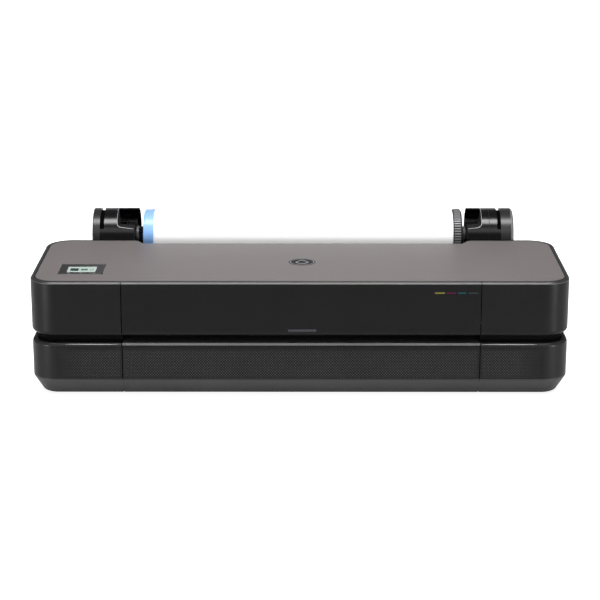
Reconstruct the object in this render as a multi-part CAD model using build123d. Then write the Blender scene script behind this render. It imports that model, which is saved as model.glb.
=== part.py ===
from build123d import *
import math
import os

# Large format plotter, desktop, 24 inch roll. Millimetres.
# X to the right, Y to the back, Z up. The origin is on the floor under the centre of the bounding box.

WIDTH = 1013.0
FRONT = -220.0
REAR = 107.0
CORNER = 50.0
WALL = 3.0
SEAM_L = -333.0
SEAM_R = 338.0
SEAM_HALF = 0.8
MIDDLE_L = SEAM_L + SEAM_HALF
MIDDLE_R = SEAM_R - SEAM_HALF
FAR = 600.0

FOOT_H = 8.6
FLOOR = FOOT_H + WALL
TRAY_TOP = 42.0
TRAY_FILLET = 9.0
CHAMFER_TOP = 39.0
CHAMFER_IN = 19.0
LOWER_TOP = 112.0
LOWER_FILLET = 7.0
LIP_Z = 108.0
FIELD_HALF = 455.0
FIELD_Z = (43.5, 98.5)
GROOVE_Z = (102.6, 103.4)
RECESS = 0.5
UPPER_BOTTOM = 125.6
UPPER_FILLET = 8.5
UPPER_TOP = 226.0
DECK_TOP = 230.0
RIM_IN = 7.1
RIM_TOP = 229.6
RIM_REAR = 50.0
RIM_BEVEL = 2.4
LID_REAR = 105.0
LID_MIDDLE = 74.0
REAR_WALL_TOP = 211.0
PLATE_FRONT = -214.2
PLATE_HALF = 498.4
BEZEL = (-457, -372, -161, -88.5)
SCREEN = (-441.5, -387.5, -147, -108)
SCREEN_Z = 229.2
EMBLEM_X = 4.0
EMBLEM_Y = -70.0
EMBLEM_R = 26.0
EMBLEM_Z = 229.0

LID_Y = 90.0
LID_Z = 222.5
PIN_R = 1.8
BOSS_R = 3.0
KNUCKLE_X = (458, 468)
FIT = 0.06

ROLL_Y = 163.0
ROLL_Z = 226.0
BRACKET_R = 55.0
COVER_IN = 55.5
COVER_OUT = 57.0
PAPER_L = -299.2
PAPER_R = 310.4
PAPER_RADIUS = 49.5
CORE_OUT = 28.5
CORE_IN = 25.4
SHAFT_R = 8.0
BUSH_R = 12.0
CRADLE_R = 12.35
HUB_R = 12.5
SLOT_R = 42.0
SLOT_OUT = 53.2
RING_OUT = 50.0
SLOT_GAP = 0.5

FEED_Y = 10.0
FEED_Z = 105.0
FEED_R = 10.0
FEED_SHAFT_R = 5.0
EXIT_Y = -125.0
EXIT_Z = 107.5
EXIT_SHAFT_R = 3.0
PINCH_Z = 120.35
PINCH_SHAFT_R = 2.0
PINCH_X = -304
PINCH_PITCH = 77
PINION_Z = 67.0
TOOTH_MODULE = 1.5
GEAR_X = (-466, -458)
FRAME_X = 449.0
FRAME_THICK = 2.0

ROD_Y = 20.0
ROD_Z = 172.0
ROD_R = 5.0
BELT_Z = 195.0
PULLEY_X = 425.0
PULLEY_R = 8.0
PULLEY_Y = (28, 34)
SPINDLE_R = 2.5
SPINDLE_FIT = 0.05
CARRIAGE_X = 388.0
LATCH_Y = -20.0
LATCH_Z = 184.0
LATCH_PIN_R = 1.5
CUTTER_X = -372.0
CUTTER_Z = 104.0
INK_X = {"yellow": 260.3, "magenta": 281.5, "cyan": 301.5, "black": 322.5}
INK_W = {"yellow": 18.6, "magenta": 17.0, "cyan": 15.0, "black": 17.0}
INK_Z = (208.5, 211.5)
INLAY = 0.05

STAND_POINTS = [(-400, -110), (400, -110), (-400, 50), (400, 50)]
STAND_BOSS_R = 9.0
INSERT_R = 5.0
INSERT_TOP = 22.0
FOOT_POINTS = [(-430, -140), (0, -140), (430, -140), (-430, 78), (0, 78), (430, 78)]
FOOT_R = 15.0


# ---------------------------------------------------------------- helpers

def box(x0, x1, y0, y1, z0, z1):
    return Pos((x0 + x1) / 2, (y0 + y1) / 2, (z0 + z1) / 2) * Box(x1 - x0, y1 - y0, z1 - z0)


def slab(x0, x1, y0, y1, r, z0, z1):
    plan = Pos((x0 + x1) / 2, (y0 + y1) / 2, z0) * RectangleRounded(x1 - x0, y1 - y0, r)
    return extrude(plan, z1 - z0)


def body_slab(inset, z0, z1):
    half = WIDTH / 2 - inset
    return slab(-half, half, FRONT + inset, REAR - inset, CORNER - inset, z0, z1)


def cyl_x(y, z, r, x0, x1):
    return Pos((x0 + x1) / 2, y, z) * Rot(0, 90, 0) * Cylinder(r, x1 - x0)


def cyl_y(x, z, r, y0, y1):
    return Pos(x, (y0 + y1) / 2, z) * Rot(90, 0, 0) * Cylinder(r, y1 - y0)


def cyl_z(x, y, r, z0, z1):
    return Pos(x, y, (z0 + z1) / 2) * Cylinder(r, z1 - z0)


def prism_x(points, x0, x1):
    """Solid with a Y,Z outline, running from x0 to x1."""
    face = Plane.YZ * make_face(Polyline(*points, close=True))
    return Pos(x0, 0, 0) * extrude(face, x1 - x0)


def prism_y(points, y0, y1):
    """Solid with an X,Z outline, running from y0 to y1."""
    face = Plane.XZ * make_face(Polyline(*points, close=True))
    return Pos(0, y1, 0) * extrude(face, y1 - y0)


def roll_point(angle, r):
    """Point round the roll axis: 0 faces the front, 90 is straight up."""
    a = math.radians(angle)
    return (ROLL_Y - r * math.cos(a), ROLL_Z + r * math.sin(a))


def roll_fan(a0, a1, x0, x1):
    """Wedge round the roll axis, wider than the brackets."""
    steps = 4
    reach = 2 * BRACKET_R
    rim = [roll_point(a0 + (a1 - a0) * i / steps, reach) for i in range(steps + 1)]
    return prism_x([(ROLL_Y, ROLL_Z)] + rim, x0, x1)


def roll_tube(r_in, r_out, x0, x1):
    return cyl_x(ROLL_Y, ROLL_Z, r_out, x0, x1) - cyl_x(ROLL_Y, ROLL_Z, r_in, x0 - 1, x1 + 1)


def span(s, a, b):
    """The X interval from a to b on side s, lowest first."""
    return (a, b) if s > 0 else (-b, -a)


def edges_at(shape, z):
    return [e for e in shape.edges() if abs(e.center().Z - z) < 0.01]


def front_edges_at(shape, z):
    return [e for e in edges_at(shape, z) if e.center().Y < FRONT + 1]


def left_of_seam(shape):
    return shape & box(-FAR, SEAM_L - SEAM_HALF, -FAR, FAR, 0, FAR)


def right_of_seam(shape):
    return shape & box(SEAM_R + SEAM_HALF, FAR, -FAR, FAR, 0, FAR)


def gear_outline(teeth, y, z):
    """Straight-sided teeth, each wider at its root than at its tip."""
    pitch_r = teeth * TOOTH_MODULE / 2
    tip_r = pitch_r + TOOTH_MODULE
    root_r = pitch_r - 1.9
    out = []
    for i in range(teeth):
        a = 2 * math.pi * i / teeth
        for half, r in ((-1.1, root_r), (-0.5, tip_r), (0.5, tip_r), (1.1, root_r)):
            b = a + half / r
            out.append((y + r * math.cos(b), z + r * math.sin(b)))
    return out


# ---------------------------------------------------------------- lower housing

def chamfered_base(inset, z0):
    half = WIDTH / 2 - inset
    plan = Pos(0, (FRONT + REAR) / 2, CHAMFER_TOP) * RectangleRounded(2 * half, REAR - FRONT - 2 * inset,
                                                                     CORNER - inset)
    taper = math.degrees(math.atan(CHAMFER_IN / (CHAMFER_TOP - FOOT_H)))
    skirt = extrude(plan, amount=CHAMFER_TOP - z0, dir=(0, 0, -1), taper=taper)
    return skirt + body_slab(inset, CHAMFER_TOP, TRAY_TOP)


def base_tray():
    outer = chamfered_base(0, FOOT_H)
    outer = fillet(edges_at(outer, FOOT_H), TRAY_FILLET)
    grooves = chamfered_base(0, FOOT_H) - chamfered_base(1, FOOT_H - 1)
    tray = outer - chamfered_base(WALL, FLOOR)
    for x in (SEAM_L, SEAM_R):
        tray -= grooves & box(x - SEAM_HALF, x + SEAM_HALF, FRONT - 1, -150, 0, 60)
        tray -= box(x - 1.6, x + 1.6, -207, -188, FOOT_H - 1, FOOT_H + 2)
    for x, y in STAND_POINTS:
        tray += cyl_z(x, y, STAND_BOSS_R, FLOOR, INSERT_TOP + 2)
        tray -= cyl_z(x, y, INSERT_R, 0, INSERT_TOP)
    for x in (-200, 0, 200):
        tray += box(x - 1.5, x + 1.5, -180, 70, FLOOR, 17)
    return tray


def stand_inserts():
    parts = []
    for x, y in STAND_POINTS:
        insert = cyl_z(x, y, INSERT_R, FOOT_H, INSERT_TOP - 0.1)
        parts.append(insert - cyl_z(x, y, 2.5, 0, INSERT_TOP - 3))
    return Compound(children=parts)


def feet():
    parts = []
    for x, y in FOOT_POINTS:
        foot = cyl_z(x, y, FOOT_R, 0, FOOT_H)
        parts.append(chamfer(edges_at(foot, 0), 2))
    return Compound(children=parts)


def texture_field():
    """Shallow recess of the front face that carries the raised dots."""
    return box(-FIELD_HALF, FIELD_HALF, FRONT - 1, FRONT + RECESS, *FIELD_Z)


def well(z0, z1):
    """Opening through which the works reach from the lower housing into the upper one."""
    return slab(-486, 486, -180, 90, 30, z0, z1)


def lower_shell():
    outer = body_slab(0, TRAY_TOP, LOWER_TOP)
    outer = fillet(edges_at(outer, LOWER_TOP), LOWER_FILLET)
    shell = outer - body_slab(WALL, TRAY_TOP - 1, LOWER_TOP - WALL)
    shell -= well(100, 120)
    neck = slab(-499, 499, -195, 99.5, 42, LOWER_TOP - 1, UPPER_BOTTOM)
    neck -= slab(-496, 496, -192, 96.5, 39, 100, 130)
    shell += neck
    lip_room = box(SEAM_L, SEAM_R, FRONT - 1, -196, 106, LOWER_TOP + 20)
    shell -= lip_room
    shell -= texture_field()
    line = body_slab(-1, *GROOVE_Z) - body_slab(RECESS + 0.1, 100, 105)
    return shell - (line & box(-FIELD_HALF, FIELD_HALF, FRONT - 1, -200, 90, 110))


def lower_left_cover(shell):
    return left_of_seam(shell) - box(-452, -368, 100, 110, 52, 98)


def lower_right_cover(shell):
    return right_of_seam(shell)


def lower_front_panel():
    panel = box(MIDDLE_L, MIDDLE_R, FRONT, FRONT + WALL, TRAY_TOP, 106)
    panel += box(MIDDLE_L, MIDDLE_R, FRONT + WALL, FRONT + 12, TRAY_TOP, TRAY_TOP + 2)
    for x in range(-300, 320, 100):
        panel += box(x - 1, x + 1, FRONT + WALL, FRONT + 9, TRAY_TOP + 2, 104)
    panel -= texture_field()
    return panel - box(SEAM_L, SEAM_R, FRONT - 1, FRONT + RECESS + 0.1, *GROOVE_Z)


def output_lip():
    rear = -196.4
    lip = box(MIDDLE_L, MIDDLE_R, FRONT + RECESS, rear, LIP_Z, LOWER_TOP)
    lip = fillet(front_edges_at(lip, LOWER_TOP), 1)
    lip += box(MIDDLE_L, MIDDLE_R, FRONT + 4, rear, 106, LIP_Z)
    return lip + box(MIDDLE_L, MIDDLE_R, rear, -150, LIP_Z, LOWER_TOP)


# ---------------------------------------------------------------- upper housing

def upper_shell():
    outer = body_slab(0, UPPER_BOTTOM, UPPER_TOP)
    outer = fillet(edges_at(outer, UPPER_BOTTOM), UPPER_FILLET)
    shell = outer - body_slab(WALL, UPPER_BOTTOM + WALL, UPPER_TOP + 1)
    shell -= well(120, 140)
    shell -= box(-FAR, FAR, RIM_REAR, 62, UPPER_TOP - 0.5, FAR)
    return shell - box(-FAR, FAR, 62, FAR, REAR_WALL_TOP, FAR)


def upper_left_cover(shell):
    return left_of_seam(shell)


def upper_right_cover(shell):
    return right_of_seam(shell)


def rim_ring():
    ring = body_slab(0, UPPER_TOP, RIM_TOP)
    ring = chamfer(edges_at(ring, RIM_TOP), RIM_BEVEL)
    inner = WIDTH / 2 - RIM_IN
    ring -= slab(-inner, inner, FRONT + 5, REAR - RIM_IN, 42.8, UPPER_TOP - 1, RIM_TOP + 1)
    return ring & box(-FAR, FAR, -FAR, RIM_REAR, 0, FAR)


def rim_left(ring):
    return left_of_seam(ring)


def rim_right(ring):
    return right_of_seam(ring)


def rear_cover():
    cover = box(MIDDLE_L, MIDDLE_R, REAR - WALL, REAR, TRAY_TOP, 198)
    ramp = [(REAR - WALL, 198), (REAR - WALL, 194), (23.5, 115.5), (21.5, 117.5)]
    cover += prism_x(ramp, -320, 325)
    for x in (-310, -155, 0, 155, 310):
        cover += prism_x([(104, 60), (104, 190), (60, 148), (70, 130)], x - 1.5, x + 1.5)
    return cover


def socket_panel():
    panel = box(-451.7, -368.3, 100.5, 106, 52.3, 97.7)
    inlet = box(-446, -418, 97, 106, 62, 84)
    panel += box(-448, -416, 88, 101, 60, 86)
    panel -= inlet & box(-446, -418, 92, 107, 62, 84)
    for x, z in ((-438, 70), (-432, 74), (-426, 70)):
        panel += box(x - 0.8, x + 0.8, 91, 102, z, z + 4)
    panel -= box(-407, -394, 102, 107, 66, 72)
    panel -= box(-388, -373, 102, 107, 64, 77)
    return panel


# ---------------------------------------------------------------- top cover

def lid_plan(z0, z1, inset=0.0):
    half = PLATE_HALF - inset
    plate = slab(-half, half, PLATE_FRONT + inset, LID_REAR - 8, 42 - inset, z0, z1)
    wide = slab(-WIDTH / 2 + inset, WIDTH / 2 - inset, -99, LID_REAR - inset, CORNER - inset, z0, z1)
    if z1 == DECK_TOP:
        wide = chamfer(edges_at(wide, z1), RIM_BEVEL)
        wide -= rim_groove()
    plate += wide & box(-FAR, FAR, RIM_REAR + 0.5 + inset, FAR, z0, z1)
    step = [(-334 - inset, 110), (-334 - inset, 106), (-315 - inset, LID_MIDDLE - inset)]
    step += [(325 + inset, LID_MIDDLE - inset), (345 + inset, 106), (345 + inset, 110)]
    notch = extrude(Pos(0, 0, z0 - 1) * make_face(Polyline(*step, close=True)), z1 - z0 + 2)
    return plate - notch


def rim_groove():
    """Carries the gap between rim and deck round the rear corners."""
    half = PLATE_HALF
    outer = slab(-half - 1, half + 1, -99, LID_REAR - 7, 43, DECK_TOP - 1.6, DECK_TOP + 1)
    return outer - slab(-half, half, -99, LID_REAR - 8, 42, DECK_TOP - 2, DECK_TOP + 2)


def deck_panel():
    deck = lid_plan(UPPER_TOP, DECK_TOP)
    flange = lid_plan(214, UPPER_TOP) - lid_plan(210, 230, WALL)
    deck += flange & box(-FAR, FAR, 64.2, FAR, 200, UPPER_TOP)
    for x in (-240, -80, 80, 200):
        deck += box(x - 1.5, x + 1.5, -200, 60, 223, UPPER_TOP)
    deck += box(MIDDLE_L, MIDDLE_R, PLATE_FRONT, -211, 217, UPPER_TOP)
    for s in (-1, 1):
        x0, x1 = span(s, *KNUCKLE_X)
        knuckle = cyl_x(LID_Y, LID_Z, BOSS_R, x0, x1)
        knuckle += box(x0, x1, LID_Y - BOSS_R, LID_Y + BOSS_R, LID_Z, UPPER_TOP)
        deck += knuckle - cyl_x(LID_Y, LID_Z, PIN_R + FIT, x0 - 1, x1 + 1)
    deck -= box(*BEZEL, 228, 240)
    return deck - cyl_z(EMBLEM_X, EMBLEM_Y, EMBLEM_R, EMBLEM_Z, 240)


def front_skirt():
    outer = box(MIDDLE_L, MIDDLE_R, FRONT, -206, UPPER_BOTTOM, UPPER_TOP)
    outer = fillet(front_edges_at(outer, UPPER_BOTTOM), UPPER_FILLET)
    skirt = outer - box(SEAM_L, SEAM_R, FRONT + WALL, -205, UPPER_BOTTOM + 6, UPPER_TOP + 1)
    skirt += box(MIDDLE_L, MIDDLE_R, FRONT + WALL, -211, 214, 217)
    for name in INK_X:
        skirt -= ink_mark(name, FRONT - 1)
    return skirt - status_bar(FRONT - 1)


def ink_mark(name, y):
    """Small bar on the front of the skirt, over the cartridge of the same colour."""
    return box(INK_X[name] - INK_W[name] / 2, INK_X[name] + INK_W[name] / 2, y, FRONT + 1, *INK_Z)


def status_bar(y):
    return box(-22, 31, y, FRONT + 1, 135, 139.3)


def colour_bars():
    return Compound(children=[ink_mark(name, FRONT + INLAY) for name in INK_X])


def status_light():
    return status_bar(FRONT + INLAY)


def rim_centre():
    rear = -215
    section = [(FRONT, UPPER_TOP), (FRONT, RIM_TOP - RIM_BEVEL), (FRONT + RIM_BEVEL, RIM_TOP)]
    section += [(rear, RIM_TOP), (rear, UPPER_TOP)]
    return prism_x(section, MIDDLE_L, MIDDLE_R)


def control_bezel():
    x0, x1, y0, y1 = BEZEL
    outline = [(x0, y1), (x0, y0), (x1 - 5, y0), (x1, y0 + 5), (x1, y1)]
    bezel = extrude(Pos(0, 0, 228) * make_face(Polyline(*outline, close=True)), 2.4)
    bezel = chamfer(bezel.edges().group_by(Axis.Z)[-1], 0.4)
    return bezel - box(*SCREEN, SCREEN_Z, 240)


def display_glass():
    return box(*SCREEN, SCREEN_Z, DECK_TOP + 0.3)


def emblem():
    disc = cyl_z(EMBLEM_X, EMBLEM_Y, EMBLEM_R, EMBLEM_Z, DECK_TOP + 0.2)
    return chamfer(disc.edges().group_by(Axis.Z)[-1], 0.3)


def lid_hinges():
    arm = [(60, 200), (78, 200), (84, 214.5), (89, 219.6), (92, 220.2)]
    arm += [(93, 222.5), (92, 224.8), (90, 225.5), (60, 224)]
    foot = [(60, 170), (78, 170), (78, 202), (60, 202)]
    parts = []
    for s in (-1, 1):
        x0, x1 = span(s, FRAME_X + FRAME_THICK, FRAME_X + FRAME_THICK + 4)
        hinge = prism_x(arm, x0, x1) + prism_x(foot, x0, x1)
        hinge += cyl_x(LID_Y, LID_Z, PIN_R, *span(s, FRAME_X + 5, FRAME_X + 22))
        parts.append(hinge)
    return Compound(children=parts)


# ---------------------------------------------------------------- frame and paper drive

def side_frame(s):
    x0, x1 = span(s, FRAME_X, FRAME_X + FRAME_THICK)
    outline = [(-150, FLOOR), (78, FLOOR), (88, 32), (88, 190), (78, 205), (-60, 205), (-150, 180)]
    frame = prism_x(outline, x0, x1)
    frame -= cyl_x(FEED_Y, FEED_Z, FEED_SHAFT_R + FIT, x0 - 1, x1 + 1)
    frame -= cyl_x(EXIT_Y, EXIT_Z, EXIT_SHAFT_R + FIT, x0 - 1, x1 + 1)
    for y, z, r in ((-100, 60, 6), (-40, 150, 6), (-70, 60, 6), (58, 130, 5), (-130, 150, 4)):
        frame -= cyl_x(y, z, r, x0 - 1, x1 + 1)
    if s < 0:
        frame -= cyl_x(FEED_Y, PINION_Z, 4, x0 - 1, x1 + 1)
    return frame


def carriage_beam():
    x = FRAME_X
    beam = box(-x, x, 38, 62, 168, 206) - box(-x - 1, x + 1, 40, 63, 170, 204)
    beam += box(-x, x, 60, 62, 198, 206)
    beam -= cyl_y(PULLEY_X, BELT_Z, 3.5, 30, 70)
    beam += cyl_y(-PULLEY_X, BELT_Z, SPINDLE_R, 26, 39)
    for i in range(9):
        x = PINCH_X + i * PINCH_PITCH
        arm = prism_x([(6, 118), (14, 118), (16, 126), (58, 168), (48, 168), (6, 126)], x - 1.5, x + 1.5)
        beam += arm - cyl_x(FEED_Y, PINCH_Z, PINCH_SHAFT_R + FIT, x - 3, x + 3)
    return beam


def guide_rod():
    return cyl_x(ROD_Y, ROD_Z, ROD_R, -FRAME_X, FRAME_X)


def platen():
    points = [(-338, 110), (338, 110), (338, 112)]
    for i in range(33):
        x = 324 - i * 20.25
        points += [(x + 1.5, 112), (x + 1.5, 114.7), (x - 1.5, 114.7), (x - 1.5, 112)]
    points.append((-338, 112))
    plate = prism_y(points, -95, -6)
    plate += box(-392, 392, -97, -95, 88, 112)
    for s in (-1, 1):
        plate += box(*span(s, 334, 338), -80, -20, FLOOR, 110)
    return plate


def feed_roller():
    roller = cyl_x(FEED_Y, FEED_Z, FEED_SHAFT_R, -468, 456)
    return roller + cyl_x(FEED_Y, FEED_Z, FEED_R, -312, 323)


def feed_gear():
    gear = prism_x(gear_outline(40, FEED_Y, FEED_Z), *GEAR_X)
    holes = 5
    for i in range(holes):
        a = 2 * math.pi * i / holes
        gear -= cyl_x(FEED_Y + 17 * math.cos(a), FEED_Z + 17 * math.sin(a), 6, -470, -450)
    return gear - cyl_x(FEED_Y, FEED_Z, FEED_SHAFT_R, -470, -450)


def feed_motor():
    motor = cyl_x(FEED_Y, PINION_Z, 18, -444, -407)
    motor += cyl_x(FEED_Y, PINION_Z, 12, -449, -444)
    return motor - cyl_x(FEED_Y, PINION_Z, SPINDLE_R + SPINDLE_FIT, -450, -437)


def feed_pinion():
    pinion = prism_x(gear_outline(10, FEED_Y, PINION_Z), *GEAR_X)
    return pinion + cyl_x(FEED_Y, PINION_Z, SPINDLE_R, -460, -438)


def pinch_rollers():
    rollers = cyl_x(FEED_Y, PINCH_Z, PINCH_SHAFT_R, -308, 316)
    for i in range(8):
        x = PINCH_X + (i + 0.5) * PINCH_PITCH
        rollers += cyl_x(FEED_Y, PINCH_Z, 5, x - 14, x + 14)
    return rollers


def exit_roller():
    roller = cyl_x(EXIT_Y, EXIT_Z, EXIT_SHAFT_R, -456, 456)
    for i in range(13):
        x = -300 + i * 51.5
        roller += cyl_x(EXIT_Y, EXIT_Z, 7, x - 8, x + 8)
    return roller


# ---------------------------------------------------------------- carriage and its drive

def carriage_motor():
    motor = cyl_y(PULLEY_X, BELT_Z, 17, 62, 83)
    return motor - cyl_y(PULLEY_X, BELT_Z, SPINDLE_R + SPINDLE_FIT, 60, 72)


def motor_pulley():
    return cyl_y(PULLEY_X, BELT_Z, PULLEY_R, *PULLEY_Y) + cyl_y(PULLEY_X, BELT_Z, SPINDLE_R, 33, 71)


def idler_pulley():
    bore = cyl_y(-PULLEY_X, BELT_Z, SPINDLE_R + SPINDLE_FIT, 20, 40)
    return cyl_y(-PULLEY_X, BELT_Z, PULLEY_R, *PULLEY_Y) - bore


def drive_belt():
    loop = Plane.XZ * Pos(0, BELT_Z)
    inner_r = PULLEY_R + 0.35
    outer_r = inner_r + 1.2
    width = 5
    outer = extrude(loop * SlotCenterToCenter(2 * PULLEY_X, 2 * outer_r), width)
    inner = extrude(loop * SlotCenterToCenter(2 * PULLEY_X, 2 * inner_r), width)
    return Pos(0, PULLEY_Y[1] - 0.5, 0) * (outer - inner)


def carriage():
    x = CARRIAGE_X
    block = box(x - 50, x + 50, -92, -5, 119, 180)
    block = fillet(block.edges().filter_by(Axis.Z), 5)
    block -= box(x - 46, x + 46, -88, -9, 123, 190)
    block -= box(x - 38, x + 38, -82, -26, 110, 130)
    block += box(x - 36, x + 36, -6, 26, 160, 184)
    block -= cyl_x(ROD_Y, ROD_Z, ROD_R + FIT, x - 60, x + 60)
    block += box(x - 12, x + 12, 24, 35.5, 178, 191)
    block -= box(x - 20, x + 20, 28.1, 33.9, 185.1, 187)
    for s in (-1, 1):
        block += box(x + s * 30 - 2, x + s * 30 + 2, -26, -8, 174, 187.5)
    return block + cyl_x(LATCH_Y, LATCH_Z, LATCH_PIN_R, x - 30, x + 30)


def printhead():
    x = CARRIAGE_X
    head = box(x - 38, x + 38, -82, -26, 117.5, 158)
    head += box(x - 30, x + 30, -76, -32, 158, 166)
    for i in range(4):
        head += cyl_z(x - 21 + i * 14, -50, 3.5, 166, 174)
    return head


def printhead_latch():
    x = CARRIAGE_X
    latch = box(x - 26, x + 26, -60, -20, 182.4, 185.2)
    latch += cyl_x(LATCH_Y, LATCH_Z, 3.2, x - 26, x + 26)
    latch += box(x - 8, x + 8, -62, -58, 182.4, 188)
    return latch - cyl_x(LATCH_Y, LATCH_Z, LATCH_PIN_R + FIT, x - 30, x + 30)


# ---------------------------------------------------------------- ink, capping and cutter

def cartridge_bay():
    bay = box(247, 336, -200, -118, 129, 186)
    for x in INK_X.values():
        bay -= box(x - 8.9, x + 8.9, -195, -123, 133, 190)
    return bay + box(336, FRAME_X, -146, -118, 176, 179)


def cartridge(name):
    x = INK_X[name]
    body = box(x - 8.4, x + 8.4, -194.5, -123.5, 133.5, 198)
    body = fillet(body.edges().filter_by(Axis.Z), 2)
    return body + box(x - 5, x + 5, -190, -170, 198, 202)


def service_station():
    station = box(342, 436, -86, -12, FLOOR, 108) - box(346, 432, -82, -16, 80, 110)
    return station - box(350, 428, -78, -20, 17, 90)


def cap_sled():
    sled = box(346.5, 431.5, -81.5, -16.5, 88, 110)
    sled -= box(352, 426, -78, -20, 84, 106)
    for i in range(2):
        x = 368 + i * 38
        sled += box(x - 14, x + 14, -70, -30, 109, 113)
        sled -= box(x - 11, x + 11, -67, -33, 111, 114)
    for x in (346.5, 429.5):
        sled += box(x, x + 2, -78, -20, 80.4, 89)
    return sled


def cutter_carriage():
    x = CUTTER_X
    block = box(x - 18, x + 18, -112, -90, 84, 109)
    block -= box(x - 19, x + 19, -97.35, -94.65, 87.6, 120)
    return block - cyl_y(x, CUTTER_Z, 1.5 + SPINDLE_FIT, -113, -100)


def cutter_blade():
    blade = cyl_y(CUTTER_X, CUTTER_Z, 13, -114, -112.4)
    return blade + cyl_y(CUTTER_X, CUTTER_Z, 1.5, -113, -101)


# ---------------------------------------------------------------- electrics

def power_supply():
    supply = box(-430, -345, -98, -11, FLOOR, 76)
    for i in range(9):
        supply -= box(-420, -355, -94 + i * 9, -90 + i * 9, 74.5, 77)
    return supply


def main_board():
    board = box(-300, -110, -60, 60, 20, 21.6)
    for x, y in ((-292, -52), (-292, 52), (-118, -52), (-118, 52)):
        board += cyl_z(x, y, 3, FLOOR, 20)
    board += box(-235, -205, -15, 15, 21.6, 25)
    board += box(-280, -250, 30, 52, 21.6, 30)
    board += box(-180, -130, 40, 48, 21.6, 33)
    for i in range(4):
        board += cyl_z(-170 + i * 14, -35, 5, 21.6, 40)
    return board


# ---------------------------------------------------------------- roll unit

def cutaway(s, x_in, x_ledge):
    """Space over the spindle seat: its floor slopes down to the roll and has a rounded inner corner."""
    low = (s * (x_in - 30), ROLL_Z + 20.5)
    high = (s * x_ledge, ROLL_Z + 27.5)
    profile = make_face(Polyline(low, high, (high[0], FAR), (low[0], FAR), close=True))
    corner = profile.vertices().sort_by_distance(high)[0]
    profile = Plane.XZ * fillet(corner, 8)
    return Pos(0, FAR, 0) * extrude(profile, FAR)


def bracket(s, x_in, x_back, x_ledge, x_cyl, x_slot, x_end, bevel):
    """Drum at one end of the roll: cradle inside, slot for the dust cover's ring, closed outer end."""
    body = cyl_x(ROLL_Y, ROLL_Z, BRACKET_R, *span(s, x_in, x_end))
    outer = [e for e in body.edges() if abs(abs(e.center().X) - x_end) < 0.01]
    body = fillet(outer, bevel)
    web = [(REAR, 183), (130, 183), (130, 216), (REAR, 216)]
    body += prism_x(web, *span(s, max(x_in + 1, 339), x_end - 1))
    slot = span(s, x_cyl, x_slot)
    free = roll_tube(SLOT_OUT - SLOT_GAP, 60, *slot) - roll_fan(-51, 26, *slot)
    body -= free + roll_tube(SLOT_R, SLOT_OUT, *slot)
    room = span(s, x_in - 20, x_ledge)
    body -= cutaway(s, x_in, x_ledge) & (cyl_x(ROLL_Y, ROLL_Z, 52, *room) + roll_fan(10, 106, *room))
    if x_back < x_in:
        back = span(s, x_back, x_in + 1)
        body += roll_tube(52, BRACKET_R, *back) & roll_fan(106, 205, *back)
    cradle = span(s, x_in - 1, x_ledge - 3)
    body -= cyl_x(ROLL_Y, ROLL_Z, CRADLE_R, *cradle)
    body -= box(*cradle, ROLL_Y - CRADLE_R, ROLL_Y + CRADLE_R, ROLL_Z, FAR)
    hollow = span(s, x_ledge + 3, x_cyl - 3)
    body -= cyl_x(ROLL_Y, ROLL_Z, 50, *hollow) - cyl_x(ROLL_Y, ROLL_Z, 24, *hollow)
    body -= box(*hollow, ROLL_Y - 15, ROLL_Y + 15, ROLL_Z - 70, ROLL_Z - 40)
    plate = span(s, x_ledge - 22, x_ledge - 5)
    body += box(*plate, ROLL_Y + 36, ROLL_Y + 41, ROLL_Z + 29, ROLL_Z + 36)
    return body


def bracket_left():
    return bracket(-1, 336.5, 329, 371, 397, 405.5, 420.5, 2)


def bracket_right():
    return bracket(1, 339.2, 339.2, 368, 399, 406.6, 432.5, 6)


def roll_cover():
    x0 = -403.4
    x1 = 405.1
    ends = ((x0, x0 + 4), (x1 - 4, x1))
    cover = roll_tube(COVER_IN, COVER_OUT, x0, x1)
    for a, b in ends:
        cover += roll_tube(SLOT_R + SLOT_GAP, COVER_OUT, a, b)
    cover = cover & roll_fan(180, 306, x0 - 1, x1 + 1)
    for a, b in ends:
        cover += roll_tube(SLOT_R + SLOT_GAP, RING_OUT, a, b)
    return cover


def roll_bushes():
    parts = []
    for x0, x1 in ((-365, -340), (342, 362)):
        parts.append(roll_tube(SHAFT_R + FIT, BUSH_R, x0, x1))
    return Compound(children=parts)


def roll_shaft():
    shaft = cyl_x(ROLL_Y, ROLL_Z, SHAFT_R, -362, 360)
    shaft += cyl_x(ROLL_Y, ROLL_Z, HUB_R, -335.8, -316.5)
    return shaft + cyl_x(ROLL_Y, ROLL_Z, HUB_R, 327.2, 338.6)


def flange_blue():
    flange = cyl_x(ROLL_Y, ROLL_Z, 52.2, -316.5, -299.5)
    flange = fillet(flange.edges().filter_by(GeomType.CIRCLE), 1.0)
    flange += roll_tube(50.2, 52.8, -302, -297.2)
    flange += cyl_x(ROLL_Y, ROLL_Z, 25.2, -300, -268)
    flange -= roll_tube(51.3, 60, -309.2, -308.4)
    return flange - cyl_x(ROLL_Y, ROLL_Z, SHAFT_R, -330, -260)


def flange_ribbed():
    ribs = 62
    outline = []
    for i in range(ribs):
        a = 2 * math.pi * i / ribs
        pitch = 2 * math.pi / ribs
        for part, r in ((0, 53.8), (0.5, 53.8), (0.56, 50.2), (0.94, 50.2)):
            b = a + part * pitch
            outline.append((ROLL_Y + r * math.cos(b), ROLL_Z + r * math.sin(b)))
    flange = prism_x(outline, 312.4, 325.4)
    flange += cyl_x(ROLL_Y, ROLL_Z, 51.4, 310.6, 313) + cyl_x(ROLL_Y, ROLL_Z, 51.4, 324.8, 327.2)
    flange += cyl_x(ROLL_Y, ROLL_Z, 25.2, 279, 312)
    return flange - cyl_x(ROLL_Y, ROLL_Z, SHAFT_R, 270, 330)


def roll_core():
    return roll_tube(CORE_IN, CORE_OUT, PAPER_L, PAPER_R)


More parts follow.
